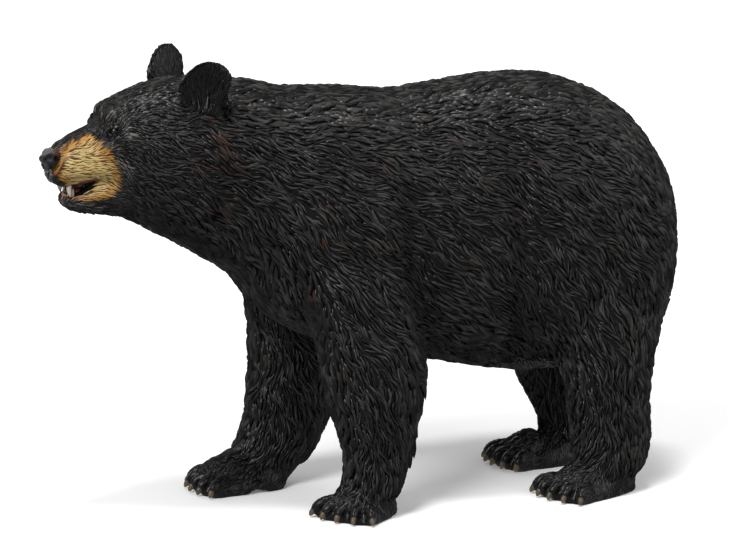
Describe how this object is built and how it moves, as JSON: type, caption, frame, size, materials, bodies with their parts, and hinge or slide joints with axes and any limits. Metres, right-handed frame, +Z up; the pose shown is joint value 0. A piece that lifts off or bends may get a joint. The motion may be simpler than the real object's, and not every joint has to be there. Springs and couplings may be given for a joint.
{
  "type": "black bear figurine",
  "caption": "Moulded toy figurine of a standing black bear with sculpted fur, a tan muzzle, an open mouth and round ears, resting on flat-soled paws.",
  "frame": {"origin": "middle of the figurine's bounding box, on the plane that its soles rest on", "axes": "+Z up, +Y from the head towards the tail, so the bear faces -Y, and +X towards the bear's left side"},
  "size_m": [0.0378, 0.101, 0.0687],
  "materials": {
    "coat": "charcoal-black painted vinyl with dry-brushed grey ridges, semi-matte",
    "muzzle": "cream to orange-tan painted vinyl, semi-matte",
    "nose": "dark grey-black painted vinyl, satin",
    "tongue": "dark red painted vinyl, satin",
    "claw": "tan to horn-brown painted vinyl",
    "eye": "very dark red-brown painted vinyl under a gloss dot"
  },
  "bodies": {
    "root": {"trunk_front": "coat", "trunk_rear": "coat", "neck": "coat", "head": "coat", "tail": "coat", "tongue": "tongue", "nose": "nose", "lower_jaw": "muzzle", "ear_left": "coat", "eye_left": "eye", "foreleg_left": "coat", "hindleg_left": "coat", "forepaw_left": "coat", "hindpaw_left": "coat", "ear_right": "coat", "eye_right": "eye", "foreleg_right": "coat", "hindleg_right": "coat", "forepaw_right": "coat", "hindpaw_right": "coat", "claw_forepaw_left_1": "claw", "claw_forepaw_left_2": "claw", "claw_forepaw_left_3": "claw", "claw_forepaw_left_4": "claw", "claw_forepaw_left_5": "claw", "claw_forepaw_right_1": "claw", "claw_forepaw_right_2": "claw", "claw_forepaw_right_3": "claw", "claw_forepaw_right_4": "claw", "claw_forepaw_right_5": "claw", "claw_hindpaw_left_1": "claw", "claw_hindpaw_left_2": "claw", "claw_hindpaw_left_3": "claw", "claw_hindpaw_left_4": "claw", "claw_hindpaw_left_5": "claw", "claw_hindpaw_right_1": "claw", "claw_hindpaw_right_2": "claw", "claw_hindpaw_right_3": "claw", "claw_hindpaw_right_4": "claw", "claw_hindpaw_right_5": "claw"}
  },
  "joints": []
}
